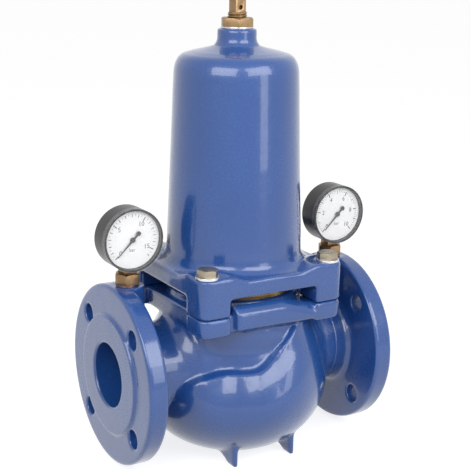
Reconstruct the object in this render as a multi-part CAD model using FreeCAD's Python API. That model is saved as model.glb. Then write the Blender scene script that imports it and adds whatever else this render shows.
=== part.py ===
import FreeCAD, Part
import math
import os
from FreeCAD import Vector

# Pressure reducing valve, flanged, nominal bore 65 mm.
# Lengths are in millimetres. Heights are measured from the pipe axis while the pieces are
# drawn, and every piece is lifted by FEET_DEPTH on export, so the part stands on Z = 0.
# +X is the flow direction, -Y is the side the dials face, +Z is up along the spindle.

# Pipe flanges, to the usual sizes for 65 mm bore and 16 bar
FACE_TO_FACE = 290.0
BORE_RADIUS = 32.5
BORE_CHAMFER = 1.0
BORE_STRAIGHT = 35.0
FLANGE_RADIUS = 92.5
FLANGE_THICKNESS = 20.0
FLANGE_RIM_ROUND = 3.0
RAISED_FACE_RADIUS = 61.0
RAISED_FACE_HEIGHT = 3.0
INLET_BOLT_CIRCLE_RADIUS = 72.2
OUTLET_BOLT_CIRCLE_RADIUS = 72.8
INLET_HOLE_RADIUS = 9.5
OUTLET_HOLE_RADIUS = 9.25
FLANGE_HOLE_COUNT = 4
FLANGE_HOLE_TURN = 0.75
NECK_RADIUS = 46.0
NECK_FILLET = 8.0
NECK_FLARE_X = 90.0
NECK_FLARE_RADIUS = 25.0
NECK_FLARE_ANGLE = 60.0

# Body casting round the seat
BOWL_RADIUS = 101.0
BOWL_MIDDLE_Z = -20.0
BOWL_FLOOR_RADIUS = 27.0
BOWL_TOP_RADIUS = 80.0
BOWL_TOP_BULGE = 4.5
RIDGE_STEP = 7.0
RIDGE_LEVEL = 8.0
RIDGE_START_X = -98.0
RIDGE_START_Z = -42.0
RIDGE_SHOULDER_X = -71.0
RIDGE_SHOULDER_Z = 2.5
RIDGE_CREST_X = -44.0
RIDGE_DIP_X = -22.0
RIDGE_RISE_Z = 19.0
RIDGE_END_X = 42.0
BODY_WALL = 9.0
WEB_TOP_Z = 4.0
WEB_BOTTOM_Z = -12.0
UPPER_CHAMBER_RADIUS = 64.0
UPPER_CHAMBER_TOP_Z = 46.0
UPPER_CHAMBER_ROUND = 6.0
SEAT_HOLE_RADIUS = 36.0
DUCT_END_RADIUS = 21.0
DUCT_END_X = 58.0
DUCT_WALL = 9.0

# Feet under the bowl
FEET_DEPTH = 97.0
FOOT_X = 34.0
FOOT_THICKNESS = 6.0
FOOT_OUTER_Y = 70.0
FOOT_LENGTH = 15.0
FOOT_INNER_Y = 28.0
FOOT_TOP_Z = -60.0

# Square flange joint between body and bonnet
BLOCK_HALF = 83.0
BLOCK_CORNER_ROUND = 11.0
BLOCK_EDGE_ROUND = 3.0
BODY_FLANGE_BOTTOM_Z = 50.5
BODY_FLANGE_TOP_Z = 70.0
BONNET_PLATE_BOTTOM_Z = 88.0
BONNET_PLATE_TOP_Z = 105.0
CORNER_PAD_HEIGHT = 5.5
CORNER_PAD_RADIUS = 22.0
CORNER_PAD_ROOT_RADIUS = 40.0
SPOT_FACE_DEPTH = 1.0
SPOT_FACE_RADIUS = 13.0
WINDOW_HALF_WIDTH = 50.0
FLANGE_RECESS = 8.0
INSERT_BORE_RADIUS = 44.0
COLLAR_RADIUS = 68.0
COLLAR_TOP_Z = 78.0

# Flow arrow cast on the front and back of the body flange
ARROW_LEFT_X = -44.0
ARROW_SHOULDER_X = 15.0
ARROW_TIP_X = 53.0
ARROW_BOTTOM_Z = 51.5
ARROW_TOP_Z = 79.5
ARROW_TIP_Z = 69.0
ARROW_BEVEL_DROP = 8.5
ARROW_BEVEL_SIDE = 3.0
ARROW_FRONT_Y = 83.5

# Bonnet
BONNET_BASE_RADIUS = 70.0
BONNET_BASE_FILLET = 12.0
BONNET_TAPER_RADIUS = 63.5
BONNET_TAPER_TOP_Z = 290.0
BONNET_SHOULDER_RADIUS = 57.0
BONNET_SHOULDER_Z = 314.0
BONNET_NECK_RADIUS = 19.8
BONNET_NECK_FILLET = 8.0
BONNET_CROWN_Z = 323.0
BONNET_NECK_TOP_Z = 341.0
SPRING_CHAMBER_RADIUS = 54.0
SPRING_CHAMBER_ROOF_Z = 311.0
SPRING_CHAMBER_ROUND = 13.0

# Adjusting spindle, M20
SPINDLE_RADIUS = 10.0
SPINDLE_PITCH = 2.5
SPINDLE_THREAD_TOP_Z = 357.0
SPINDLE_TOP_Z = 376.0
SPINDLE_CHAMFER = 1.5
SQUARE_WIDTH = 12.0
SQUARE_TURN = 5.0
CROSS_HOLE_RADIUS = 2.2
CROSS_HOLE_Z = 361.5
SPINDLE_WASHER_RADIUS = 16.3
SPINDLE_WASHER_THICKNESS = 2.0
LOCK_NUT_FLATS = 30.0
LOCK_NUT_HEIGHT = 8.5
LOCK_NUT_TURN = 6.0
THREAD_CLEARANCE = 0.05

# Fasteners at the four corners, M12
BOLT_POSITION = 70.0
BOLT_RADIUS = 6.0
BOLT_CLEARANCE_HOLE = 6.8
BOLT_HEAD_FLATS = 19.0
BOLT_HEAD_HEIGHT = 7.0
BOLT_HEAD_TURN = 12.0
BOLT_LENGTH = 60.0
BOLT_WASHER_RADIUS = 12.0
BOLT_WASHER_THICKNESS = 2.5
FIXED_CLEARANCE = 0.05

# Valve insert and seat
SLIDE_CLEARANCE = 0.08
INSERT_FLANGE_RADIUS = 64.0
INSERT_FLANGE_TOP_Z = 85.5
INSERT_RIM_WIDTH = 9.0
INSERT_FLOOR_Z = 81.0
INSERT_BOTTOM_Z = 34.0
SLEEVE_BORE_RADIUS = 30.0
SLEEVE_WALL = 6.0
SEAT_BORE_RADIUS = 29.0
SEAT_FLANGE_RADIUS = 41.0
SEAT_FLANGE_THICKNESS = 4.0
SEAT_NOSE = 2.0
SEAT_SEAL_RADIUS = 1.6
LIFT = 12.0
CLOSING_GAP = 0.2

# Moving valve assembly
STEM_RADIUS = 8.0
STEM_TOP_Z = 112.0
STEM_THREAD_RADIUS = 6.0
STEM_THREAD_EXTRA = 2.0
STEM_SLEEVE_RADIUS = 12.0
PISTON_HEIGHT = 14.0
PISTON_BOTTOM_Z = 46.0
PISTON_GROOVE_DEPTH = 3.0
PISTON_GROOVE_HEIGHT = 5.0
DISC_SEAL_RADIUS = 35.0
DISC_SEAL_BORE = 14.0
DISC_SEAL_THICKNESS = 5.0
DISC_HOLDER_RADIUS = 38.0
DISC_HOLDER_THICKNESS = 9.0
DISC_NUT_FLATS = 19.0
DISC_NUT_HEIGHT = 8.0
DIAPHRAGM_THICKNESS = 2.5
LOWER_PLATE_RADIUS = 46.0
LOWER_PLATE_THICKNESS = 3.0
SPRING_PLATE_RADIUS = 46.0
SPRING_PLATE_THICKNESS = 5.0
SPRING_PILOT_RADIUS = 28.0
SPRING_PILOT_HEIGHT = 5.0
STEM_NUT_FLATS = 19.0
STEM_NUT_HEIGHT = 8.0

# Set spring
SPRING_MEAN_RADIUS = 36.0
SPRING_WIRE_RADIUS = 5.5
SPRING_TURNS = 8
SPRING_TOP_Z = 278.0
UPPER_PLATE_THICKNESS = 8.0
BALL_RADIUS = 6.0
BALL_SEAT_DEPTH = 5.0
BALL_SEAT_WALL = 5.0
BALL_GAP = 0.05

# Gauge ports and adapters, G 1/4
GAUGE_X = 121.8
BOSS_RADIUS = 17.0
BOSS_TOP_Z = 92.0
BOSS_ROOT_Z = 30.0
PORT_THREAD_RADIUS = 6.5
PORT_THREAD_DEPTH = 14.0
PORT_HOLE_RADIUS = 3.0
PORT_SEAL_RADIUS = 9.5
PORT_SEAL_THICKNESS = 1.5
ADAPTER_FLATS = 23.0
ADAPTER_HEX_HEIGHT = 11.0
ADAPTER_STUB_LENGTH = 11.0
ADAPTER_SOCKET_DEPTH = 9.0
ADAPTER_HOLE_RADIUS = 2.5

# Gauges, 63 mm dial
DIAL_CENTRE_Z = 140.5
HEAD_Y = -4.0
CASE_RADIUS = 31.5
CASE_WALL = 2.0
CASE_FRONT_Y = -12.0
CASE_BACK_Y = 14.0
LEDGE_WIDTH = 2.0
LEDGE_THICKNESS = 2.0
DIAL_RADIUS = 29.0
DIAL_THICKNESS = 0.6
DIAL_Y = -7.0
DIAL_HOLE_RADIUS = 1.6
WINDOW_THICKNESS = 1.6
WINDOW_SKIRT_LENGTH = 4.0
WINDOW_SKIRT_WALL = 0.9
SOCKET_WIDTH = 14.0
SOCKET_STUB_LENGTH = 8.6
SOCKET_STUB_RADIUS = 6.0
SOCKET_SHOULDER_Z = -25.0
SOCKET_BLOCK_WIDTH = 12.0
SOCKET_BLOCK_TOP = -19.3

# Pointer and movement inside each gauge
POINTER_LENGTH = 23.0
POINTER_TAIL = 8.5
POINTER_WIDTH = 1.8
POINTER_TIP_WIDTH = 0.5
POINTER_TAIL_RADIUS = 2.4
POINTER_THICKNESS = 0.6
POINTER_Y = -9.2
POINTER_HUB_RADIUS = 2.6
POINTER_HUB_HEIGHT = 1.4
POINTER_REST_ANGLE = 225.0
POINTER_SWEEP = 270.0
ARBOR_RADIUS = 0.8
ARBOR_CLEARANCE = 0.06
PLATE_FRONT_Y = -4.4
PLATE_BACK_Y = 3.6
PLATE_THICKNESS = 1.0
PLATE_HALF_WIDTH = 9.5
PLATE_TOP = 10.7
PILLAR_RADIUS = 1.5
PINION_RADIUS = 1.4
PINION_HALF_HEIGHT = 1.0
SECTOR_RADIUS = 11.0
SECTOR_RIM = 2.2
SECTOR_HALF_HEIGHT = 0.5
SECTOR_START_ANGLE = -6.0
SECTOR_END_ANGLE = 41.0
SECTOR_MESH_GAP = 0.06
TAIL_LENGTH = 4.5
TAIL_ANGLE = 200.0
LINK_PIN_RADIUS = 0.5
LINK_WIDTH = 2.4
LINK_THICKNESS = 0.9
LINK_GAP = 0.3
TUBE_RADIUS = 23.5
TUBE_SECTION_RADIAL = 3.2
TUBE_SECTION_DEPTH = 7.0
TUBE_WALL = 0.6
TUBE_SWEEP = 292.0

# Values worked out from the ones above
FACE_X = FACE_TO_FACE / 2
FLANGE_FRONT_X = FACE_X - RAISED_FACE_HEIGHT
FLANGE_BACK_X = FLANGE_FRONT_X - FLANGE_THICKNESS
DUCT_START_X = FACE_X - BORE_STRAIGHT
CORNER_PAD_Z = BONNET_PLATE_TOP_Z + CORNER_PAD_HEIGHT
WASHER_SEAT_Z = CORNER_PAD_Z - SPOT_FACE_DEPTH
BOLT_SEAT_Z = WASHER_SEAT_Z + BOLT_WASHER_THICKNESS
LOCK_NUT_Z = BONNET_NECK_TOP_Z + SPINDLE_WASHER_THICKNESS
SEAT_BOTTOM_Z = WEB_BOTTOM_Z - SEAT_NOSE
DISC_FACE_Z = SEAT_BOTTOM_Z - LIFT - CLOSING_GAP
DISC_BOTTOM_Z = DISC_FACE_Z - DISC_HOLDER_THICKNESS
DIAPHRAGM_TOP_Z = INSERT_FLANGE_TOP_Z + DIAPHRAGM_THICKNESS
LOWER_PLATE_Z = INSERT_FLANGE_TOP_Z - LOWER_PLATE_THICKNESS
SPRING_BOTTOM_Z = DIAPHRAGM_TOP_Z + SPRING_PLATE_THICKNESS
UPPER_PLATE_TOP_Z = SPRING_TOP_Z + UPPER_PLATE_THICKNESS
BALL_CENTRE_Z = UPPER_PLATE_TOP_Z + BALL_RADIUS + BALL_GAP
SPINDLE_BOTTOM_Z = BALL_CENTRE_Z + BALL_RADIUS + BALL_GAP
ADAPTER_Z = BOSS_TOP_Z + PORT_SEAL_THICKNESS
ADAPTER_TOP_Z = ADAPTER_Z + ADAPTER_HEX_HEIGHT
SECTOR_PIVOT = -(PINION_RADIUS + SECTOR_RADIUS)
SIDES = (-1, 1)
NEAR = 0.1
OVERCUT = 1.0


def cylinder(radius, bottom, top, x=0.0, y=0.0):
    return Part.makeCylinder(radius, top - bottom, Vector(x, y, bottom), Vector(0, 0, 1))


def cylinder_x(radius, start, end, y=0.0, z=0.0):
    return Part.makeCylinder(radius, end - start, Vector(start, y, z), Vector(1, 0, 0))


def cylinder_y(radius, start, end, x=0.0, z=0.0):
    return Part.makeCylinder(radius, end - start, Vector(x, start, z), Vector(0, 1, 0))


def head(shape):
    """Gauge head pieces are drawn on the port axis and moved forward together."""
    return shape.translated(Vector(0, HEAD_Y, 0))


def ring(outer, inner, bottom, top, x=0.0, y=0.0):
    return cylinder(outer, bottom, top, x, y).cut(cylinder(inner, bottom, top, x, y))


def block(x0, x1, y0, y1, z0, z1):
    return Part.makeBox(x1 - x0, y1 - y0, z1 - z0, Vector(x0, y0, z0))


def hexagon(flats, bottom, top, x=0.0, y=0.0, turn=0.0):
    corner = flats / math.sqrt(3)
    points = []
    for k in range(7):
        angle = math.radians(turn + 60 * k)
        points.append(Vector(x + corner * math.cos(angle), y + corner * math.sin(angle), bottom))
    return Part.Face(Part.makePolygon(points)).extrude(Vector(0, 0, top - bottom))


def chamfered_hexagon(flats, bottom, top, x=0.0, y=0.0, turn=0.0):
    corner = flats / math.sqrt(3)
    rise = (corner - flats / 2) * math.tan(math.radians(30))
    cone = Part.makeCone(corner, flats / 2, rise, Vector(x, y, top - rise), Vector(0, 0, 1))
    return hexagon(flats, bottom, top, x, y, turn).common(
        cylinder(corner, bottom, top - rise, x, y).fuse(cone))


def line(a, b):
    return Part.LineSegment(a, b).toShape()


def arc(a, middle, b):
    return Part.Arc(a, middle, b).toShape()


def spline(points, start=None, end=None):
    curve = Part.BSplineCurve()
    if start is None:
        curve.interpolate(points)
    else:
        curve.interpolate(Points=points, InitialTangent=start, FinalTangent=end)
    return curve.toShape()


def arc_with_centre(centre, radius, start_angle, end_angle):
    points = []
    for angle in (start_angle, (start_angle + end_angle) / 2, end_angle):
        turn = math.radians(angle)
        points.append(Vector(centre[0] + radius * math.cos(turn), 0, centre[1] + radius * math.sin(turn)))
    return arc(points[0], points[1], points[2])


def revolved(edges, axis):
    face = Part.Face(Part.Wire(edges))
    return face.revolve(Vector(0, 0, 0), axis, 360)


def mirrored_x(shape):
    return shape.mirror(Vector(0, 0, 0), Vector(1, 0, 0))


def mirrored_y(shape):
    return shape.mirror(Vector(0, 0, 0), Vector(0, 1, 0))


# Body casting: pipe ends


def pipe_end():
    """One flange with its neck, on the +X side."""
    rim = FLANGE_RIM_ROUND
    fillet = NECK_FILLET
    neck_x = FLANGE_BACK_X - fillet
    flare = NECK_FLARE_RADIUS
    root_x = NECK_FLARE_X - flare * math.sin(math.radians(NECK_FLARE_ANGLE))
    root_radius = NECK_RADIUS + flare * (1 - math.cos(math.radians(NECK_FLARE_ANGLE)))
    corners = [
        Vector(0, 0, 0),
        Vector(0, 0, root_radius),
        Vector(FLANGE_BACK_X, 0, NECK_RADIUS + fillet),
        Vector(FLANGE_BACK_X, 0, FLANGE_RADIUS - rim),
        Vector(FLANGE_BACK_X + rim, 0, FLANGE_RADIUS),
        Vector(FLANGE_FRONT_X - rim, 0, FLANGE_RADIUS),
        Vector(FLANGE_FRONT_X, 0, FLANGE_RADIUS - rim),
        Vector(FLANGE_FRONT_X, 0, RAISED_FACE_RADIUS),
        Vector(FACE_X, 0, RAISED_FACE_RADIUS),
        Vector(FACE_X, 0, 0),
    ]
    edges = [
        line(corners[0], corners[1]),
        line(corners[1], Vector(root_x, 0, root_radius)),
        arc_with_centre((NECK_FLARE_X, NECK_RADIUS + flare), flare, 270 - NECK_FLARE_ANGLE, 270),
        line(Vector(NECK_FLARE_X, 0, NECK_RADIUS), Vector(neck_x, 0, NECK_RADIUS)),
        arc_with_centre((neck_x, NECK_RADIUS + fillet), fillet, 270, 360),
        line(corners[2], corners[3]),
        arc_with_centre((FLANGE_BACK_X + rim, FLANGE_RADIUS - rim), rim, 180, 90),
        line(corners[4], corners[5]),
        arc_with_centre((FLANGE_FRONT_X - rim, FLANGE_RADIUS - rim), rim, 90, 0),
        line(corners[6], corners[7]),
        line(corners[7], corners[8]),
        line(corners[8], corners[9]),
        line(corners[9], corners[0]),
    ]
    return revolved(edges, Vector(1, 0, 0))


def flange_holes(circle_radius, hole_radius, turn):
    """Bolt holes of one flange, on the +X side, off the vertical centre line."""
    holes = []
    for k in range(FLANGE_HOLE_COUNT):
        angle = math.radians(360 / FLANGE_HOLE_COUNT * (k + 0.5) + turn)
        y = circle_radius * math.cos(angle)
        z = circle_radius * math.sin(angle)
        holes.append(cylinder_x(hole_radius, FLANGE_BACK_X - OVERCUT, FACE_X, y, z))
    return holes


# Body casting: barrel, bowl and ridge


def bowl_profile(inset):
    """Half section of the bowl, set in by a wall or a step, as a list of edges."""
    radius = BOWL_RADIUS - BOWL_FLOOR_RADIUS - inset
    bottom = BOWL_MIDDLE_Z - radius
    side = Vector(BOWL_RADIUS - inset, 0, BOWL_MIDDLE_Z)
    top = Vector(BOWL_TOP_RADIUS - inset, 0, BODY_FLANGE_BOTTOM_Z)
    middle = (side + top) * 0.5 + Vector(BOWL_TOP_BULGE, 0, 0)
    return [
        line(Vector(0, 0, bottom), Vector(BOWL_FLOOR_RADIUS, 0, bottom)),
        arc_with_centre((BOWL_FLOOR_RADIUS, BOWL_MIDDLE_Z), radius, 270, 360),
        arc(side, middle, top),
        line(top, Vector(0, 0, BODY_FLANGE_BOTTOM_Z)),
        line(Vector(0, 0, BODY_FLANGE_BOTTOM_Z), Vector(0, 0, bottom)),
    ]


def above_ridge():
    """Everything above the S-shaped ridge that follows the partition inside."""
    reach = BOWL_RADIUS * 2
    start = Vector(RIDGE_START_X, -reach, RIDGE_START_Z)
    shoulder = Vector(RIDGE_SHOULDER_X, -reach, RIDGE_SHOULDER_Z)
    crest = Vector(RIDGE_CREST_X, -reach, RIDGE_LEVEL)
    dip = Vector(RIDGE_DIP_X, -reach, RIDGE_LEVEL)
    rise = Vector(0, -reach, RIDGE_RISE_Z)
    end = Vector(RIDGE_END_X, -reach, BODY_FLANGE_BOTTOM_Z + RIDGE_STEP)
    corner = Vector(RIDGE_END_X, -reach, reach)
    far_left = Vector(-reach, -reach, RIDGE_START_Z * 2)
    far_corner = Vector(-reach, -reach, reach)
    edges = [
        line(far_left, start),
        spline([start, shoulder, crest, dip, rise, end]),
        line(end, corner),
        line(corner, far_corner),
        line(far_corner, far_left),
    ]
    return Part.Face(Part.Wire(edges)).extrude(Vector(0, 2 * reach, 0))


def barrel():
    """Upper part of the body, one step inside the bowl, under the square flange."""
    return revolved(bowl_profile(RIDGE_STEP), Vector(0, 0, 1))


def bowl():
    return revolved(bowl_profile(0.0), Vector(0, 0, 1)).cut(above_ridge())


def foot(x, side):
    inner = FOOT_INNER_Y * side
    outer = FOOT_OUTER_Y * side
    x0 = x - FOOT_THICKNESS / 2
    floor = BOWL_MIDDLE_Z - (BOWL_RADIUS - BOWL_FLOOR_RADIUS)
    points = [
        Vector(x0, outer, -FEET_DEPTH),
        Vector(x0, outer, FOOT_TOP_Z),
        Vector(x0, inner, FOOT_TOP_Z),
        Vector(x0, inner, floor + BODY_WALL),
        Vector(x0, outer - FOOT_LENGTH * side, -FEET_DEPTH),
        Vector(x0, outer, -FEET_DEPTH),
    ]
    return Part.Face(Part.makePolygon(points)).extrude(Vector(FOOT_THICKNESS, 0, 0))


def gauge_boss(x):
    return cylinder(BOSS_RADIUS, BOSS_ROOT_Z, BOSS_TOP_Z, x)


# Body casting: square flange, collar and arrows


def square_plate(bottom, top, rounded_levels):
    """Square plate with round corners and eased edges at the listed heights."""
    plate = block(-BLOCK_HALF, BLOCK_HALF, -BLOCK_HALF, BLOCK_HALF, bottom, top)
    corners = [e for e in plate.Edges if e.BoundBox.ZLength > BLOCK_EDGE_ROUND]
    plate = plate.makeFillet(BLOCK_CORNER_ROUND, corners)
    rims = []
    for edge in plate.Edges:
        for level in rounded_levels:
            box = edge.BoundBox
            if abs(box.ZMin - level) < NEAR and abs(box.ZMax - level) < NEAR:
                rims.append(edge)
    if rims:
        plate = plate.makeFillet(BLOCK_EDGE_ROUND, rims)
    return plate


def side_cutter(inner, bottom, top):
    """Four blocks between the corner posts, from the inner distance outwards."""
    outer = BLOCK_HALF + OVERCUT
    half = WINDOW_HALF_WIDTH
    cutters = []
    for side in SIDES:
        y = sorted((inner * side, outer * side))
        cutters.append(block(-half, half, y[0], y[1], bottom, top))
        cutters.append(block(y[0], y[1], -half, half, bottom, top))
    return cutters


def body_flange():
    plate = square_plate(BODY_FLANGE_BOTTOM_Z, BODY_FLANGE_TOP_Z, [BODY_FLANGE_BOTTOM_Z])
    recess = BLOCK_HALF - FLANGE_RECESS
    low = BODY_FLANGE_BOTTOM_Z
    for cutter in side_cutter(recess, low, BODY_FLANGE_TOP_Z):
        plate = plate.cut(cutter)
    return plate


def arrow():
    """Arrow pad with a bevelled top that points along the flow, on the -Y side."""
    back_y = -(BLOCK_HALF - FLANGE_RECESS) + OVERCUT
    front_y = -ARROW_FRONT_Y
    side = ARROW_BEVEL_SIDE
    drop = ARROW_BEVEL_DROP

    def outline(y, in_by, down_by):
        return Part.makePolygon([
            Vector(ARROW_LEFT_X + in_by, y, ARROW_BOTTOM_Z + in_by),
            Vector(ARROW_LEFT_X + in_by, y, ARROW_TOP_Z - down_by),
            Vector(ARROW_SHOULDER_X, y, ARROW_TOP_Z - down_by),
            Vector(ARROW_TIP_X - in_by, y, ARROW_TIP_Z - down_by),
            Vector(ARROW_TIP_X - in_by * 2, y, ARROW_BOTTOM_Z + in_by),
            Vector(ARROW_LEFT_X + in_by, y, ARROW_BOTTOM_Z + in_by),
        ])

    return Part.makeLoft([outline(back_y, 0.0, 0.0), outline(front_y, side, drop)], True, True)


# Body casting: passages


def tube_between(start_x, start_z, start_radius, end_x, end_z, end_radius):
    wires = []
    for x, z, radius in ((start_x, start_z, start_radius), (end_x, end_z, end_radius)):
        circle = Part.Circle(Vector(x, 0, z), Vector(1, 0, 0), radius)
        wires.append(Part.Wire(circle.toShape()))
    return Part.makeLoft(wires, True, True)


def upper_chamber():
    chamber = cylinder(UPPER_CHAMBER_RADIUS, WEB_TOP_Z, UPPER_CHAMBER_TOP_Z)
    rims = [e for e in chamber.Edges if len(e.Vertexes) == 1 and e.BoundBox.ZLength < NEAR]
    return chamber.makeFillet(UPPER_CHAMBER_ROUND, rims)


def lower_chamber():
    """Hollow of the bowl, kept one wall away from the inlet duct."""
    chamber = revolved(bowl_profile(BODY_WALL), Vector(0, 0, 1))
    reach = BOWL_RADIUS
    chamber = chamber.cut(block(-reach, reach, -reach, reach, WEB_BOTTOM_Z, reach))
    rise = WEB_TOP_Z + BORE_RADIUS
    run = DUCT_START_X - DUCT_END_X
    slope = rise / run
    step = DUCT_WALL / math.cos(math.atan(slope))
    low = Vector(-DUCT_START_X - run, -reach, -BORE_RADIUS - slope * run - step)
    high = Vector(-DUCT_END_X + run, -reach, WEB_TOP_Z + slope * run - step)
    points = [low, high, Vector(low.x, -reach, high.z), low]
    wedge = Part.Face(Part.makePolygon(points)).extrude(Vector(0, 2 * reach, 0))
    return chamber.cut(wedge)


def body_passages():
    entry = BORE_RADIUS + BORE_CHAMFER
    cuts = [upper_chamber(), lower_chamber()]
    duct = DUCT_END_RADIUS
    duct_low_z = WEB_BOTTOM_Z - duct - BODY_WALL / 2
    cuts.append(tube_between(-DUCT_START_X, 0, BORE_RADIUS, -DUCT_END_X, WEB_TOP_Z + duct, duct))
    cuts.append(tube_between(DUCT_END_X, duct_low_z, duct, DUCT_START_X, 0, BORE_RADIUS))
    cuts.append(cylinder(SEAT_HOLE_RADIUS, WEB_BOTTOM_Z - OVERCUT, WEB_TOP_Z + OVERCUT))
    cuts.append(cylinder(INSERT_BORE_RADIUS, UPPER_CHAMBER_TOP_Z - OVERCUT, COLLAR_TOP_Z))
    for side in SIDES:
        x = sorted((side * DUCT_START_X, side * FACE_X))
        cuts.append(cylinder_x(BORE_RADIUS, x[0], x[1]))
        cone = Part.makeCone(BORE_RADIUS, entry, BORE_CHAMFER, Vector(side * (FACE_X - BORE_CHAMFER), 0, 0),
                             Vector(side, 0, 0))
        cuts.append(cone)
    return cuts


def body_casting():
    right = pipe_end()
    shape = right.fuse([mirrored_x(right), barrel(), bowl()])
    pieces = []
    for x in (-FOOT_X, FOOT_X):
        for side in SIDES:
            pieces.append(foot(x, side))
    for side in SIDES:
        pieces.append(gauge_boss(side * GAUGE_X))
    pieces.append(body_flange())
    pieces.append(cylinder(COLLAR_RADIUS, BODY_FLANGE_BOTTOM_Z, COLLAR_TOP_Z))
    pieces.append(arrow())
    pieces.append(mirrored_y(arrow()))
    shape = shape.fuse(pieces)
    cuts = body_passages()
    cuts += flange_holes(OUTLET_BOLT_CIRCLE_RADIUS, OUTLET_HOLE_RADIUS, FLANGE_HOLE_TURN)
    for hole in flange_holes(INLET_BOLT_CIRCLE_RADIUS, INLET_HOLE_RADIUS, -FLANGE_HOLE_TURN):
        cuts.append(mirrored_x(hole))
    port = PORT_THREAD_RADIUS + FIXED_CLEARANCE
    tapped = BOLT_RADIUS + FIXED_CLEARANCE
    tapped_bottom = BODY_FLANGE_BOTTOM_Z - OVERCUT
    for side in SIDES:
        x = side * GAUGE_X
        cuts.append(cylinder(BOSS_RADIUS, BOSS_TOP_Z, FLANGE_RADIUS + OVERCUT, x))
        cuts.append(cylinder(port, BOSS_TOP_Z - PORT_THREAD_DEPTH, BOSS_TOP_Z, x))
        cuts.append(cylinder(PORT_HOLE_RADIUS, 0, BOSS_TOP_Z, x))
        bolt_x = side * BOLT_POSITION
        for side_y in SIDES:
            bolt_y = side_y * BOLT_POSITION
            cuts.append(cylinder(tapped, tapped_bottom, BODY_FLANGE_TOP_Z, bolt_x, bolt_y))
    shape = shape.cut(cuts)
    return shape.removeSplitter()


# Bonnet casting


def bonnet_dome():
    fillet = BONNET_BASE_FILLET
    base_z = BONNET_PLATE_TOP_Z + fillet
    low = Vector(BONNET_BASE_RADIUS, 0, base_z)
    high = Vector(BONNET_TAPER_RADIUS, 0, BONNET_TAPER_TOP_Z)
    shoulder = Vector(BONNET_SHOULDER_RADIUS, 0, BONNET_SHOULDER_Z)
    neck_fillet = BONNET_NECK_FILLET
    neck_low = Vector(BONNET_NECK_RADIUS, 0, BONNET_CROWN_Z + neck_fillet)
    crown_x = BONNET_NECK_RADIUS + neck_fillet
    crown = Vector(crown_x, 0, BONNET_CROWN_Z)
    side_slope = (high - low).normalize()
    foot_x = BONNET_BASE_RADIUS + fillet
    foot_low = Vector(foot_x, 0, BONNET_PLATE_BOTTOM_Z)
    edges = [
        line(Vector(0, 0, BONNET_PLATE_BOTTOM_Z), foot_low),
        line(foot_low, Vector(foot_x, 0, BONNET_PLATE_TOP_Z)),
        arc_with_centre((foot_x, base_z), fillet, 270, 180),
        line(low, high),
        spline([high, shoulder, crown], side_slope, Vector(-1, 0, 0.1)),
        arc_with_centre((crown_x, BONNET_CROWN_Z + neck_fillet), neck_fillet, 270, 180),
        line(neck_low, Vector(BONNET_NECK_RADIUS, 0, BONNET_NECK_TOP_Z)),
        line(Vector(BONNET_NECK_RADIUS, 0, BONNET_NECK_TOP_Z), Vector(0, 0, BONNET_NECK_TOP_Z)),
        line(Vector(0, 0, BONNET_NECK_TOP_Z), Vector(0, 0, BONNET_PLATE_BOTTOM_Z)),
    ]
    return revolved(edges, Vector(0, 0, 1))


def spring_chamber():
    corner = SPRING_CHAMBER_ROUND
    centre = (SPRING_CHAMBER_RADIUS - corner, SPRING_CHAMBER_ROOF_Z - corner)
    side_top = Vector(SPRING_CHAMBER_RADIUS, 0, centre[1])
    roof = Vector(centre[0], 0, SPRING_CHAMBER_ROOF_Z)
    bottom = BONNET_PLATE_BOTTOM_Z
    edges = [
        line(Vector(0, 0, bottom), Vector(SPRING_CHAMBER_RADIUS, 0, bottom)),
        line(Vector(SPRING_CHAMBER_RADIUS, 0, bottom), side_top),
        arc_with_centre(centre, corner, 0, 90),
        line(roof, Vector(0, 0, SPRING_CHAMBER_ROOF_Z)),
        line(Vector(0, 0, SPRING_CHAMBER_ROOF_Z), Vector(0, 0, bottom)),
    ]
    return revolved(edges, Vector(0, 0, 1))


def corner_post(side_x, side_y, bottom, top):
    plate = square_plate(bottom, top, [])
    outer = BLOCK_HALF + OVERCUT
    x = sorted((side_x * WINDOW_HALF_WIDTH, side_x * outer))
    y = sorted((side_y * WINDOW_HALF_WIDTH, side_y * outer))
    return plate.common(block(x[0], x[1], y[0], y[1], bottom, top))


def bonnet_casting():
    plate = square_plate(BONNET_PLATE_BOTTOM_Z, BONNET_PLATE_TOP_Z, [BONNET_PLATE_TOP_Z])
    pads = square_plate(BONNET_PLATE_BOTTOM_Z, CORNER_PAD_Z, [CORNER_PAD_Z])
    pieces = [bonnet_dome()]
    cuts = [spring_chamber()]
    for side_x in SIDES:
        for side_y in SIDES:
            x = side_x * BOLT_POSITION
            y = side_y * BOLT_POSITION
            pad = Part.makeCone(CORNER_PAD_ROOT_RADIUS, CORNER_PAD_RADIUS, CORNER_PAD_HEIGHT,
                                Vector(x, y, BONNET_PLATE_TOP_Z), Vector(0, 0, 1))
            pieces.append(pads.common(pad))
            pieces.append(corner_post(side_x, side_y, BODY_FLANGE_TOP_Z, BONNET_PLATE_BOTTOM_Z))
            cuts.append(cylinder(BOLT_CLEARANCE_HOLE, BODY_FLANGE_TOP_Z - OVERCUT, BOLT_SEAT_Z, x, y))
            cuts.append(cylinder(SPOT_FACE_RADIUS, WASHER_SEAT_Z, BOLT_SEAT_Z + BOLT_HEAD_HEIGHT, x, y))
    roof = SPRING_CHAMBER_ROOF_Z - OVERCUT
    cuts.append(cylinder(SPINDLE_RADIUS, roof, BONNET_NECK_TOP_Z + OVERCUT))
    return plate.fuse(pieces).cut(cuts).removeSplitter()


# Valve insert, seat and seals held in the body


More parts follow.
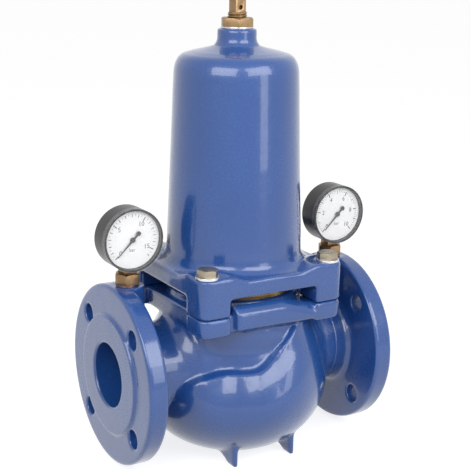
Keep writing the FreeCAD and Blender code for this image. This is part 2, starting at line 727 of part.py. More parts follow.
def balance_insert():
    floor_radius = INSERT_FLANGE_RADIUS - INSERT_RIM_WIDTH
    sleeve = SLEEVE_BORE_RADIUS + SLEEVE_WALL
    shape = cylinder(INSERT_FLANGE_RADIUS, COLLAR_TOP_Z, INSERT_FLANGE_TOP_Z)
    shape = shape.fuse(cylinder(INSERT_BORE_RADIUS - FIXED_CLEARANCE, BODY_FLANGE_BOTTOM_Z, COLLAR_TOP_Z))
    shape = shape.fuse(cylinder(sleeve, INSERT_BOTTOM_Z, BODY_FLANGE_BOTTOM_Z))
    shape = shape.cut(cylinder(floor_radius, INSERT_FLOOR_Z, INSERT_FLANGE_TOP_Z))
    shape = shape.cut(cylinder(SLEEVE_BORE_RADIUS, INSERT_BOTTOM_Z, INSERT_FLOOR_Z))
    groove_z = (BODY_FLANGE_TOP_Z + BODY_FLANGE_BOTTOM_Z) / 2
    groove = Part.makeTorus(INSERT_BORE_RADIUS - SEAT_SEAL_RADIUS, SEAT_SEAL_RADIUS + FIXED_CLEARANCE,
                            Vector(0, 0, groove_z))
    return shape.cut(groove)


def insert_o_ring():
    groove_z = (BODY_FLANGE_TOP_Z + BODY_FLANGE_BOTTOM_Z) / 2
    return Part.makeTorus(INSERT_BORE_RADIUS - SEAT_SEAL_RADIUS, SEAT_SEAL_RADIUS, Vector(0, 0, groove_z))


def seat_ring():
    shape = cylinder(SEAT_HOLE_RADIUS - FIXED_CLEARANCE, SEAT_BOTTOM_Z, WEB_TOP_Z)
    shape = shape.fuse(cylinder(SEAT_FLANGE_RADIUS, WEB_TOP_Z, WEB_TOP_Z + SEAT_FLANGE_THICKNESS))
    return shape.cut(cylinder(SEAT_BORE_RADIUS, SEAT_BOTTOM_Z, WEB_TOP_Z + SEAT_FLANGE_THICKNESS))


def diaphragm():
    return ring(INSERT_FLANGE_RADIUS, STEM_RADIUS + FIXED_CLEARANCE, INSERT_FLANGE_TOP_Z, DIAPHRAGM_TOP_Z)


def corner_bolts():
    head_top = BOLT_SEAT_Z + BOLT_HEAD_HEIGHT
    bolts = []
    for side_x in SIDES:
        for side_y in SIDES:
            x = side_x * BOLT_POSITION
            y = side_y * BOLT_POSITION
            turn = side_x * BOLT_HEAD_TURN
            hexagon_head = chamfered_hexagon(BOLT_HEAD_FLATS, BOLT_SEAT_Z, head_top, x, y, turn)
            shank = cylinder(BOLT_RADIUS, BOLT_SEAT_Z - BOLT_LENGTH, BOLT_SEAT_Z, x, y)
            bolts.append(hexagon_head.fuse(shank))
    return Part.makeCompound(bolts)


def corner_washers():
    washers = []
    for side_x in SIDES:
        for side_y in SIDES:
            washers.append(ring(BOLT_WASHER_RADIUS, BOLT_RADIUS + FIXED_CLEARANCE, WASHER_SEAT_Z, BOLT_SEAT_Z,
                                side_x * BOLT_POSITION, side_y * BOLT_POSITION))
    return Part.makeCompound(washers)


# Moving valve assembly


def valve_stem():
    nut_seat = SPRING_BOTTOM_Z + SPRING_PILOT_HEIGHT
    shape = cylinder(STEM_RADIUS, DISC_FACE_Z, nut_seat)
    thread_bottom = DISC_BOTTOM_Z - DISC_NUT_HEIGHT - STEM_THREAD_EXTRA
    return shape.fuse(cylinder(STEM_THREAD_RADIUS, thread_bottom, STEM_TOP_Z))


def balance_piston():
    top = PISTON_BOTTOM_Z + PISTON_HEIGHT
    shape = ring(SLEEVE_BORE_RADIUS - SLIDE_CLEARANCE, STEM_RADIUS + FIXED_CLEARANCE, PISTON_BOTTOM_Z, top)
    groove_z = (PISTON_BOTTOM_Z + top - PISTON_GROOVE_HEIGHT) / 2
    return shape.cut(ring(SLEEVE_BORE_RADIUS, SLEEVE_BORE_RADIUS - PISTON_GROOVE_DEPTH,
                          groove_z, groove_z + PISTON_GROOVE_HEIGHT))


def piston_lip_seal():
    groove_z = (2 * PISTON_BOTTOM_Z + PISTON_HEIGHT - PISTON_GROOVE_HEIGHT) / 2
    return ring(SLEEVE_BORE_RADIUS - SLIDE_CLEARANCE / 2, SLEEVE_BORE_RADIUS - PISTON_GROOVE_DEPTH,
                groove_z, groove_z + PISTON_GROOVE_HEIGHT)


def distance_sleeve():
    """Distance sleeve on the stem between the piston and the diaphragm plate."""
    bottom = PISTON_BOTTOM_Z + PISTON_HEIGHT
    return ring(STEM_SLEEVE_RADIUS, STEM_RADIUS + FIXED_CLEARANCE, bottom, LOWER_PLATE_Z)


def disc_holder():
    recess_z = DISC_FACE_Z - DISC_SEAL_THICKNESS
    shape = ring(DISC_HOLDER_RADIUS, STEM_THREAD_RADIUS + FIXED_CLEARANCE, DISC_BOTTOM_Z, DISC_FACE_Z)
    return shape.cut(ring(DISC_SEAL_RADIUS, DISC_SEAL_BORE, recess_z, DISC_FACE_Z))


def disc_seal():
    return ring(DISC_SEAL_RADIUS, DISC_SEAL_BORE, DISC_FACE_Z - DISC_SEAL_THICKNESS, DISC_FACE_Z)


def disc_nut():
    bottom = DISC_BOTTOM_Z - DISC_NUT_HEIGHT
    nut = hexagon(DISC_NUT_FLATS, bottom, DISC_BOTTOM_Z)
    return nut.cut(cylinder(STEM_THREAD_RADIUS + FIXED_CLEARANCE, bottom, DISC_BOTTOM_Z))


def diaphragm_plate():
    return ring(LOWER_PLATE_RADIUS, STEM_RADIUS + FIXED_CLEARANCE, LOWER_PLATE_Z, INSERT_FLANGE_TOP_Z)


def lower_spring_plate():
    top = SPRING_BOTTOM_Z + SPRING_PILOT_HEIGHT
    shape = cylinder(SPRING_PLATE_RADIUS, DIAPHRAGM_TOP_Z, SPRING_BOTTOM_Z)
    shape = shape.fuse(cylinder(SPRING_PILOT_RADIUS, SPRING_BOTTOM_Z, top))
    return shape.cut(cylinder(STEM_RADIUS + FIXED_CLEARANCE, DIAPHRAGM_TOP_Z, top))


def stem_nut():
    bottom = SPRING_BOTTOM_Z + SPRING_PILOT_HEIGHT
    nut = hexagon(STEM_NUT_FLATS, bottom, bottom + STEM_NUT_HEIGHT)
    return nut.cut(cylinder(STEM_THREAD_RADIUS + FIXED_CLEARANCE, bottom, bottom + STEM_NUT_HEIGHT))


# Set spring and adjusting spindle


def helix_point(angle, bottom, rise):
    return Vector(SPRING_MEAN_RADIUS * math.cos(angle), SPRING_MEAN_RADIUS * math.sin(angle),
                  bottom + rise * angle / (2 * math.pi))


def helix_tangent(angle, rise):
    tangent = Vector(-SPRING_MEAN_RADIUS * math.sin(angle), SPRING_MEAN_RADIUS * math.cos(angle),
                     rise / (2 * math.pi))
    return tangent.normalize()


def arc_from_tangent(a, tangent, b):
    chord = b - a
    along = tangent.dot(chord) / chord.Length
    side = tangent - chord * (tangent.dot(chord) / chord.Length ** 2)
    half_angle = math.acos(along) / 2
    rise = chord.Length / 2 * math.tan(half_angle)
    return arc(a, (a + b) * 0.5 + side.normalize() * rise, b)


def biarc(a, tangent_a, b, tangent_b):
    chord = b - a
    total = tangent_a + tangent_b
    spread = 2 * (1 - tangent_a.dot(tangent_b))
    reach = chord.dot(total)
    length = (-reach + math.sqrt(reach ** 2 + spread * chord.Length ** 2)) / spread
    joint = (a + b + (tangent_a - tangent_b) * length) * 0.5
    first = arc_from_tangent(a, tangent_a, joint)
    back = arc_from_tangent(b, tangent_b * -1, joint)
    return [first, back]


def set_spring():
    bottom = SPRING_BOTTOM_Z + SPRING_WIRE_RADIUS + BALL_GAP
    top = SPRING_TOP_Z - SPRING_WIRE_RADIUS - BALL_GAP
    rise = (top - bottom) / SPRING_TURNS
    steps = SPRING_TURNS * 4
    edges = []
    for k in range(steps):
        a = k * math.pi / 2
        b = a + math.pi / 2
        edges += biarc(helix_point(a, bottom, rise), helix_tangent(a, rise),
                       helix_point(b, bottom, rise), helix_tangent(b, rise))
    path = Part.Wire(Part.__sortEdges__(edges))
    section = Part.Circle(helix_point(0, bottom, rise), helix_tangent(0, rise), SPRING_WIRE_RADIUS)
    spring = path.makePipeShell([Part.Wire(section.toShape())], True, False)
    print("set spring: gap between turns", round(rise - 2 * SPRING_WIRE_RADIUS, 2))
    return spring


def upper_spring_plate():
    hub = BALL_RADIUS + BALL_SEAT_WALL
    hub_top = UPPER_PLATE_TOP_Z + BALL_SEAT_DEPTH
    shape = cylinder(SPRING_PLATE_RADIUS, SPRING_TOP_Z, UPPER_PLATE_TOP_Z)
    shape = shape.fuse(cylinder(hub, UPPER_PLATE_TOP_Z, hub_top))
    shape = shape.fuse(cylinder(SPRING_PILOT_RADIUS, SPRING_TOP_Z - SPRING_PILOT_HEIGHT, SPRING_TOP_Z))
    return shape.cut(cylinder(BALL_RADIUS + SLIDE_CLEARANCE, UPPER_PLATE_TOP_Z, hub_top))


def thrust_ball():
    return Part.makeSphere(BALL_RADIUS, Vector(0, 0, BALL_CENTRE_Z))


def adjusting_spindle():
    radius = SPINDLE_RADIUS - THREAD_CLEARANCE
    root = SQUARE_WIDTH / math.sqrt(2)
    chamfer = SPINDLE_CHAMFER
    shape = cylinder(radius, SPINDLE_BOTTOM_Z, SPINDLE_THREAD_TOP_Z - chamfer)
    shape = shape.fuse(Part.makeCone(radius, root, chamfer, Vector(0, 0, SPINDLE_THREAD_TOP_Z - chamfer)))
    half = SQUARE_WIDTH / 2
    square = block(-half, half, -half, half, SPINDLE_THREAD_TOP_Z, SPINDLE_TOP_Z)
    tops = [e for e in square.Edges if e.BoundBox.ZMin > SPINDLE_TOP_Z - NEAR]
    square = square.makeChamfer(chamfer, tops)
    square = square.cut(cylinder_y(CROSS_HOLE_RADIUS, -half, half, 0, CROSS_HOLE_Z))
    square.rotate(Vector(0, 0, 0), Vector(0, 0, 1), SQUARE_TURN)
    return shape.fuse(square)


def spindle_washer():
    return ring(SPINDLE_WASHER_RADIUS, SPINDLE_RADIUS + THREAD_CLEARANCE, BONNET_NECK_TOP_Z, LOCK_NUT_Z)


def lock_nut():
    top = LOCK_NUT_Z + LOCK_NUT_HEIGHT
    nut = chamfered_hexagon(LOCK_NUT_FLATS, LOCK_NUT_Z, top, 0, 0, LOCK_NUT_TURN)
    return nut.cut(cylinder(SPINDLE_RADIUS, LOCK_NUT_Z, top))


# Gauge fittings


def port_seal(x):
    return ring(PORT_SEAL_RADIUS, PORT_THREAD_RADIUS + FIXED_CLEARANCE, BOSS_TOP_Z, ADAPTER_Z, x)


def gauge_adapter(x):
    bottom = ADAPTER_Z - ADAPTER_STUB_LENGTH
    socket_bottom = ADAPTER_TOP_Z - ADAPTER_SOCKET_DEPTH
    shape = chamfered_hexagon(ADAPTER_FLATS, ADAPTER_Z, ADAPTER_TOP_Z, x)
    shape = shape.fuse(cylinder(PORT_THREAD_RADIUS, bottom, ADAPTER_Z, x))
    shape = shape.cut(cylinder(SOCKET_STUB_RADIUS + FIXED_CLEARANCE, socket_bottom, ADAPTER_TOP_Z, x))
    return shape.cut(cylinder(ADAPTER_HOLE_RADIUS, bottom, ADAPTER_TOP_Z, x))


def gauge_socket(x):
    """Square brass stem with the block that carries the bourdon tube and movement."""
    half = SOCKET_WIDTH / 2
    core = SOCKET_BLOCK_WIDTH / 2
    shoulder = DIAL_CENTRE_Z + SOCKET_SHOULDER_Z
    shape = block(x - half, x + half, -half, half, ADAPTER_TOP_Z, shoulder)
    shape = shape.fuse(block(x - core, x + core, -core, core, shoulder, DIAL_CENTRE_Z + SOCKET_BLOCK_TOP))
    shape = shape.fuse(cylinder(SOCKET_STUB_RADIUS, ADAPTER_TOP_Z - SOCKET_STUB_LENGTH, ADAPTER_TOP_Z, x))
    return shape.cut(cylinder(ADAPTER_HOLE_RADIUS, ADAPTER_TOP_Z - SOCKET_STUB_LENGTH, shoulder, x))


# Gauge housing


def gauge_case(x):
    inner = CASE_RADIUS - CASE_WALL
    z = DIAL_CENTRE_Z
    shape = cylinder_y(CASE_RADIUS, CASE_FRONT_Y, CASE_BACK_Y, x, z)
    rim = [e for e in shape.Edges if len(e.Vertexes) == 1 and e.BoundBox.YMin > CASE_BACK_Y - NEAR]
    shape = shape.makeFillet(CASE_WALL, rim)
    shape = shape.cut(cylinder_y(inner, CASE_FRONT_Y, DIAL_Y, x, z))
    shape = shape.cut(cylinder_y(inner - LEDGE_WIDTH, DIAL_Y, DIAL_Y + LEDGE_THICKNESS, x, z))
    shape = shape.cut(cylinder_y(inner, DIAL_Y + LEDGE_THICKNESS, CASE_BACK_Y - CASE_WALL, x, z))
    half = SOCKET_WIDTH / 2 + FIXED_CLEARANCE
    slot_top = z - inner / 2
    slot_bottom = z - CASE_RADIUS - OVERCUT
    return head(shape).cut(block(x - half, x + half, -half, half, slot_bottom, slot_top))


def gauge_window(x):
    z = DIAL_CENTRE_Z
    inner = CASE_RADIUS + FIXED_CLEARANCE
    outer = inner + WINDOW_SKIRT_WALL
    front = CASE_FRONT_Y - WINDOW_THICKNESS
    shape = cylinder_y(outer, front, CASE_FRONT_Y + WINDOW_SKIRT_LENGTH, x, z)
    rims = [e for e in shape.Edges if len(e.Vertexes) == 1 and e.BoundBox.YMax < front + NEAR]
    shape = shape.makeFillet(WINDOW_SKIRT_WALL, rims)
    return head(shape.cut(cylinder_y(inner, CASE_FRONT_Y, CASE_FRONT_Y + WINDOW_SKIRT_LENGTH, x, z)))


def gauge_dial(x):
    plate = cylinder_y(DIAL_RADIUS, DIAL_Y - DIAL_THICKNESS, DIAL_Y, x, DIAL_CENTRE_Z)
    return head(plate.cut(cylinder_y(DIAL_HOLE_RADIUS, DIAL_Y - DIAL_THICKNESS, DIAL_Y, x, DIAL_CENTRE_Z)))


def gauge_pointer(x):
    """Pointer with its hub, arbor and pinion, pointing at zero."""
    z = DIAL_CENTRE_Z
    y = POINTER_Y
    blade = Part.makePolygon([
        Vector(x - POINTER_TAIL, y, z - POINTER_WIDTH / 2),
        Vector(x - POINTER_TAIL, y, z + POINTER_WIDTH / 2),
        Vector(x + POINTER_HUB_RADIUS, y, z + POINTER_WIDTH / 2),
        Vector(x + POINTER_LENGTH, y, z + POINTER_TIP_WIDTH / 2),
        Vector(x + POINTER_LENGTH, y, z - POINTER_TIP_WIDTH / 2),
        Vector(x + POINTER_HUB_RADIUS, y, z - POINTER_WIDTH / 2),
        Vector(x - POINTER_TAIL, y, z - POINTER_WIDTH / 2),
    ])
    front = y - POINTER_THICKNESS
    pinion = PINION_RADIUS - SECTOR_MESH_GAP
    shape = Part.Face(blade).extrude(Vector(0, -POINTER_THICKNESS, 0))
    shape = shape.fuse(cylinder_y(POINTER_TAIL_RADIUS, front, y, x - POINTER_TAIL, z))
    shape = shape.fuse(cylinder_y(POINTER_HUB_RADIUS, front, front + POINTER_HUB_HEIGHT, x, z))
    shape = shape.fuse(cylinder_y(ARBOR_RADIUS, y, PLATE_BACK_Y + PLATE_THICKNESS, x, z))
    shape = shape.fuse(cylinder_y(pinion, -PINION_HALF_HEIGHT, PINION_HALF_HEIGHT, x, z))
    shape.rotate(Vector(x, 0, z), Vector(0, -1, 0), POINTER_REST_ANGLE)
    return head(shape)


# Gauge movement


def tail_pin(x):
    angle = math.radians(TAIL_ANGLE)
    return x + TAIL_LENGTH * math.cos(angle), DIAL_CENTRE_Z + SECTOR_PIVOT + TAIL_LENGTH * math.sin(angle)


def tube_tip(x):
    angle = math.radians(TUBE_SWEEP - 90)
    return x + TUBE_RADIUS * math.cos(angle), DIAL_CENTRE_Z + TUBE_RADIUS * math.sin(angle)


def movement_plates(x):
    z = DIAL_CENTRE_Z
    bottom = z + SOCKET_BLOCK_TOP
    pivot = z + SECTOR_PIVOT
    half = PLATE_HALF_WIDTH
    back = PLATE_BACK_Y + PLATE_THICKNESS
    pieces = []
    for y in (PLATE_FRONT_Y, PLATE_BACK_Y):
        pieces.append(block(x - half, x + half, y, y + PLATE_THICKNESS, bottom, z + PLATE_TOP))
    posts = ((x + half - PILLAR_RADIUS, bottom + 2 * PILLAR_RADIUS), (x, z + PLATE_TOP - 2 * PILLAR_RADIUS))
    for post_x, post_z in posts:
        pieces.append(cylinder_y(PILLAR_RADIUS, PLATE_FRONT_Y, back, post_x, post_z))
    shape = pieces[0].fuse(pieces[1:])
    hole = ARBOR_RADIUS + ARBOR_CLEARANCE
    for hole_z in (z, pivot):
        shape = shape.cut(cylinder_y(hole, PLATE_FRONT_Y, back, x, hole_z))
    return head(shape)


def sector_gear(x):
    """Toothed sector on its arbor, with the tail that the link pulls."""
    z = DIAL_CENTRE_Z + SECTOR_PIVOT
    low = -SECTOR_HALF_HEIGHT
    high = SECTOR_HALF_HEIGHT
    start = math.radians(90 - SECTOR_START_ANGLE)
    end = math.radians(90 - SECTOR_END_ANGLE)
    middle = (start + end) / 2

    def at(radius, angle):
        return Vector(x + radius * math.cos(angle), low, z + radius * math.sin(angle))

    rim_radius = SECTOR_RADIUS - SECTOR_MESH_GAP
    hub = ARBOR_RADIUS * 2
    edges = [
        line(at(hub, start), at(rim_radius, start)),
        arc(at(rim_radius, start), at(rim_radius, middle), at(rim_radius, end)),
        line(at(rim_radius, end), at(hub, end)),
        line(at(hub, end), at(hub, start)),
    ]
    shape = Part.Face(Part.Wire(edges)).extrude(Vector(0, high - low, 0))
    pin_x, pin_z = tail_pin(x)
    shape = shape.fuse(cylinder_y(hub, low, high, x, z))
    tail = block(x - TAIL_LENGTH, x, low, high, z - LINK_WIDTH / 2, z + LINK_WIDTH / 2)
    tail.rotate(Vector(x, 0, z), Vector(0, -1, 0), TAIL_ANGLE - 180)
    shape = shape.fuse(tail)
    shape = shape.fuse(cylinder_y(LINK_WIDTH / 2, low, high, pin_x, pin_z))
    pin_front = low - LINK_GAP - LINK_THICKNESS - LINK_GAP
    shape = shape.fuse(cylinder_y(LINK_PIN_RADIUS, pin_front, low, pin_x, pin_z))
    return head(shape.fuse(cylinder_y(ARBOR_RADIUS, PLATE_FRONT_Y, PLATE_BACK_Y + PLATE_THICKNESS, x, z)))


def pull_link(x):
    """Flat link from the tail pin to the tip of the bourdon tube."""
    pin_x, pin_z = tail_pin(x)
    tip_x, tip_z = tube_tip(x)
    back = -SECTOR_HALF_HEIGHT - LINK_GAP
    front = back - LINK_THICKNESS
    angle = math.atan2(tip_z - pin_z, tip_x - pin_x)
    length = math.hypot(tip_x - pin_x, tip_z - pin_z)
    bar = block(pin_x, pin_x + length, front, back, pin_z - LINK_WIDTH / 2, pin_z + LINK_WIDTH / 2)
    bar.rotate(Vector(pin_x, 0, pin_z), Vector(0, -1, 0), math.degrees(angle))
    shape = bar.fuse(cylinder_y(LINK_WIDTH / 2, front, back, pin_x, pin_z))
    shape = shape.fuse(cylinder_y(LINK_WIDTH / 2, front, back, tip_x, tip_z))
    return head(shape.cut(cylinder_y(LINK_PIN_RADIUS + ARBOR_CLEARANCE, front, back, pin_x, pin_z)))


def bourdon_tube(x):
    """Flattened C-shaped tube from the socket block round to its free tip."""
    z = DIAL_CENTRE_Z
    half = TUBE_SECTION_RADIAL / 2

    def section(inset):
        front = inset
        back = TUBE_SECTION_DEPTH - inset
        outside = z - TUBE_RADIUS - half + inset
        inside = z - TUBE_RADIUS + half - inset
        return Part.makePolygon([
            Vector(x, front, outside),
            Vector(x, front, inside),
            Vector(x, back, inside),
            Vector(x, back, outside),
            Vector(x, front, outside),
        ])

    axis = Vector(0, -1, 0)
    outer = Part.Face(section(0.0)).revolve(Vector(x, 0, z), axis, TUBE_SWEEP)
    inner = Part.Face(section(TUBE_WALL)).revolve(Vector(x, 0, z), axis, TUBE_SWEEP - TUBE_WALL)
    socket = SOCKET_BLOCK_WIDTH / 2
    room = block(x - socket, x + socket, -SOCKET_WIDTH, SOCKET_WIDTH, z - CASE_RADIUS, z + SOCKET_BLOCK_TOP)
    return head(outer.cut(inner)).cut(room)


def build_all():
    nodes = {
        "body_casting": body_casting(),
        "bonnet_casting": bonnet_casting(),
        "balance_insert": balance_insert(),
        "insert_o_ring": insert_o_ring(),
        "seat_ring": seat_ring(),
        "diaphragm": diaphragm(),
        "corner_bolts": corner_bolts(),
        "corner_washers": corner_washers(),
        "valve_stem": valve_stem(),
        "balance_piston": balance_piston(),
        "piston_lip_seal": piston_lip_seal(),
        "distance_sleeve": distance_sleeve(),
        "disc_holder": disc_holder(),
        "disc_seal": disc_seal(),
        "disc_nut": disc_nut(),
        "diaphragm_plate": diaphragm_plate(),
        "lower_spring_plate": lower_spring_plate(),
        "stem_nut": stem_nut(),
        "set_spring": set_spring(),
        "upper_spring_plate": upper_spring_plate(),
        "thrust_ball": thrust_ball(),
        "adjusting_spindle": adjusting_spindle(),
        "spindle_washer": spindle_washer(),
        "lock_nut": lock_nut(),
    }
    for side, name in ((-1, "inlet"), (1, "outlet")):
        x = side * GAUGE_X
        nodes[name + "_port_seal"] = port_seal(x)
        nodes[name + "_gauge_adapter"] = gauge_adapter(x)
        nodes[name + "_gauge_socket"] = gauge_socket(x)
        nodes[name + "_gauge_case"] = gauge_case(x)
        nodes[name + "_gauge_window"] = gauge_window(x)
        nodes[name + "_gauge_dial"] = gauge_dial(x)
        nodes[name + "_gauge_pointer"] = gauge_pointer(x)
        nodes[name + "_movement_plates"] = movement_plates(x)
        nodes[name + "_sector_gear"] = sector_gear(x)
        nodes[name + "_pull_link"] = pull_link(x)
        nodes[name + "_bourdon_tube"] = bourdon_tube(x)
    return nodes


os.makedirs("parts", exist_ok=True)
for node, shape in build_all().items():
    shape.translate(Vector(0, 0, FEET_DEPTH))
    shape.exportStep("parts/" + node + ".step")
    print(node, "solids", len(shape.Solids), "volume", round(shape.Volume, 1), "valid", shape.isValid())
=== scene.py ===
import math

import bmesh
import bpy
from mathutils import Matrix, Vector
from mathutils.kdtree import KDTree


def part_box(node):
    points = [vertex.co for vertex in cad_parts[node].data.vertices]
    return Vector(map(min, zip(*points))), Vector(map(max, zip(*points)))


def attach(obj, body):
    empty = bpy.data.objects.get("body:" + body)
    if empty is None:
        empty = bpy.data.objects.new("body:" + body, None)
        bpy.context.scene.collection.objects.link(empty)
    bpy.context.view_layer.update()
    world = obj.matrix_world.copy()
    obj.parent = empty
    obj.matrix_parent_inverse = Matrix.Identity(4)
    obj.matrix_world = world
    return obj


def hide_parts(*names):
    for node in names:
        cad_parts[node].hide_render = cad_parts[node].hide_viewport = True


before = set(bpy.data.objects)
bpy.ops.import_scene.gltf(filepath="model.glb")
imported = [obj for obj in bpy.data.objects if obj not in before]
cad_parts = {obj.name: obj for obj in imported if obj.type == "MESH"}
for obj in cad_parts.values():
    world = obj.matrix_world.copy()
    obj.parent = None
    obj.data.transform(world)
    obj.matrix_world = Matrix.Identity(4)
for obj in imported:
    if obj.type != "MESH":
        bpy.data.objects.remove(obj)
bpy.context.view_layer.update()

# ---- Body casting
# One ductile iron casting: bowl, barrel, square flange, two pipe flanges and feet, under a thick
# coat of blue enamel that rounds its corners. The flange ends have a finer skin than the middle,
# to keep their machined edges, and laps it on the plain part of each neck.

SIDES = (("inlet", -1), ("outlet", 1))
PIPE_AXIS_Z = 0.097
NECK_RADIUS = 0.046
NECK_SKIN_RADII = (0.0435, 0.0485)
NECK_START_X = 0.0905
NECK_LAP = 0.00015
JOIN_DISTANCE = 0.00001
MIDDLE_GRAIN = 0.0020
MIDDLE_EASING = 4
FLANGE_GRAIN = 0.00125
FLANGE_EASING = 3
BLOCK_UNDERSIDE_Z = 0.0505
RIDGE_LINE = ((-0.098, -0.042), (-0.071, 0.0025), (-0.044, 0.008), (-0.022, 0.008), (0, 0.019),
              (0.042, 0.0575), (0.098, 0.0575))
HOLLOW_DEPTH = 0.012
HOLLOW_REACH = 0.060
HOLLOW_HALF_WIDTH = 0.088
HOLLOW_SIDE_FADE = 0.035
HOLLOW_TOP_FADE = 0.030
HOLLOW_MIN_RADIUS = 0.055
HOLLOW_FACING = (0.35, 0.75)
END_PIECE_X = 0.1015
MIDDLE_PIECE_X = 0.106


class Signal:
    """One socket of a finish. Sums and products of signals add Math nodes."""

    def __init__(self, finish, socket):
        self.finish, self.socket = finish, socket

    def maths(self, operation, first, second):
        return self.finish.node("Math", {"operation": operation}, {0: first, 1: second})

    def __add__(self, other):
        return self.maths("ADD", self, other)

    def __mul__(self, other):
        return self.maths("MULTIPLY", self, other)

    __radd__ = __add__
    __rmul__ = __mul__


class Finish:
    """The nodes of one material, or of the world, and the methods that add to them."""

    def __init__(self, owner):
        owner.use_nodes = True
        self.owner, self.tree = owner, owner.node_tree
        self.tree.nodes.clear()

    def node(self, kind, settings=(), sockets=(), output=0):
        """Adds a node, with its settings first, and returns one of its outputs."""
        made = self.tree.nodes.new("ShaderNode" + kind)
        for key, value in dict(settings).items():
            setattr(made, key, value)
        for key, value in dict(sockets).items():
            if isinstance(value, Signal):
                self.tree.links.new(value.socket, made.inputs[key])
            else:
                made.inputs[key].default_value = value
        return Signal(self, made.outputs[output]) if made.outputs else None

    def cloud(self, size, detail=2.0):
        """Soft noise between 0 and 1 whose lumps are about this size in metres."""
        place = self.node("TexCoord", output="Object")
        return self.node("TexNoise", {}, {"Vector": place, "Scale": 1 / size, "Detail": detail})

    def spread(self, signal, low=0.3, high=0.7):
        """The signal stretched so that low becomes 0 and high becomes 1."""
        return self.node("MapRange", {"clamp": True}, {0: signal, 1: low, 2: high, 3: 0.0, 4: 1.0})

    def tint(self, mask, first, second):
        return self.node("Mix", {"data_type": "RGBA"}, {0: mask, 6: first, 7: second}, output=2)

    def relief(self, height, depth, strength):
        """A bumped normal from a height between 0 and 1, this many metres deep."""
        return self.node("Bump", {}, {"Height": height, "Distance": depth, "Strength": strength})

    def surface(self, **sockets):
        """Ends the material with a Principled shader that has these sockets."""
        named = {key.replace("_", " "): value for key, value in sockets.items()}
        self.node("OutputMaterial", {}, {"Surface": self.node("BsdfPrincipled", {}, named)})
        return self.owner


def blue_enamel():
    coat = Finish(bpy.data.materials.new("blue_enamel"))
    drift = coat.spread(coat.cloud(0.09))
    speck = coat.spread(coat.cloud(0.0022), 0.35, 0.75)
    thin = coat.tint(drift, (0.013, 0.062, 0.246, 1), (0.018, 0.076, 0.284, 1))
    colour = coat.tint(speck * 0.35, thin, (0.028, 0.096, 0.320, 1))
    peel = coat.cloud(0.0030, 1.0)
    sag = coat.cloud(0.017, 1.0)
    return coat.surface(
        Base_Color=colour, Roughness=0.20 + 0.08 * drift + 0.05 * speck, IOR=1.5,
        Normal=coat.relief(sag * 0.80 + peel * 0.16, 0.0010, 0.55),
        Coat_Weight=0.7, Coat_Roughness=0.04)


BLUE_ENAMEL = blue_enamel()


def joined_skin(node):
    """A copy of a CAD node's mesh with its loose triangles joined."""
    skin = bmesh.new()
    skin.from_mesh(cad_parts[node].data)
    bmesh.ops.remove_doubles(skin, verts=skin.verts, dist=JOIN_DISTANCE)
    return skin


def cut_away(skin, x, side):
    """Removes what lies beyond the plane at x on the given side and closes the ring it leaves."""
    everything = skin.verts[:] + skin.edges[:] + skin.faces[:]
    cut = bmesh.ops.bisect_plane(skin, geom=everything, plane_co=(x, 0, 0), plane_no=(side, 0, 0),
                                 clear_outer=True)
    ring = [part for part in cut["geom_cut"] if isinstance(part, bmesh.types.BMEdge)]
    bmesh.ops.bridge_loops(skin, edges=ring)


def recast(skin, grain, passes):
    """Skins a shape over evenly and eases its corners, as a casting under thick enamel has them."""
    mesh = bpy.data.meshes.new("pattern")
    skin.to_mesh(mesh)
    skin.free()
    pattern = bpy.data.objects.new("pattern", mesh)
    bpy.context.collection.objects.link(pattern)
    remesh = pattern.modifiers.new("Skin", "REMESH")
    remesh.mode, remesh.voxel_size = "VOXEL", grain
    skinned = bpy.data.meshes.new_from_object(
        pattern.evaluated_get(bpy.context.evaluated_depsgraph_get()))
    bpy.data.objects.remove(pattern)
    even = bmesh.new()
    even.from_mesh(skinned)
    bpy.data.meshes.remove(skinned)
    for _ in range(passes):
        bmesh.ops.smooth_vert(even, verts=even.verts, factor=0.5,
                              use_axis_x=True, use_axis_y=True, use_axis_z=True)
    return even


def add_piece(shape, name, body, finish, stands_for=(), sharp_angle=180):
    """Makes the piece, smooth but for edges over the sharp angle, and ties it to its body."""
    mesh = bpy.data.meshes.new(name)
    shape.to_mesh(mesh)
    shape.free()
    mesh.shade_smooth()
    if sharp_angle < 180:
        mesh.set_sharp_from_angle(angle=math.radians(sharp_angle))
    mesh.materials.append(finish)
    piece = bpy.data.objects.new(name, mesh)
    bpy.context.collection.objects.link(piece)
    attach(piece, body)
    if stands_for:
        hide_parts(*stands_for)


def eased(value, low, high):
    """0 at low, 1 at high, and a smooth rise between them."""
    part = min(max((value - low) / (high - low), 0), 1)
    return part * part * (3 - 2 * part)


def hollow_depth(x, y, z):
    """How far the bowl's front draws in around its ridge, at a height above the pipe axis."""
    radius = math.hypot(x, y)
    if radius < HOLLOW_MIN_RADIUS or y > 0 or abs(x) > HOLLOW_HALF_WIDTH:
        return 0
    for (start_x, start_z), (end_x, end_z) in zip(RIDGE_LINE, RIDGE_LINE[1:]):
        if start_x <= x <= end_x:
            ridge_z = start_z + (end_z - start_z) * (x - start_x) / (end_x - start_x)
    below = min(max((ridge_z - z) / HOLLOW_REACH, 0), 1)
    depth = HOLLOW_DEPTH * (1 - 0.5 * eased(x, 0, HOLLOW_SIDE_FADE)) * (1 - below) ** 2
    return (depth * eased(BLOCK_UNDERSIDE_Z - z, 0, HOLLOW_TOP_FADE)
            * eased(-y / radius, *HOLLOW_FACING)
            * eased(HOLLOW_HALF_WIDTH - abs(x), 0, HOLLOW_SIDE_FADE))


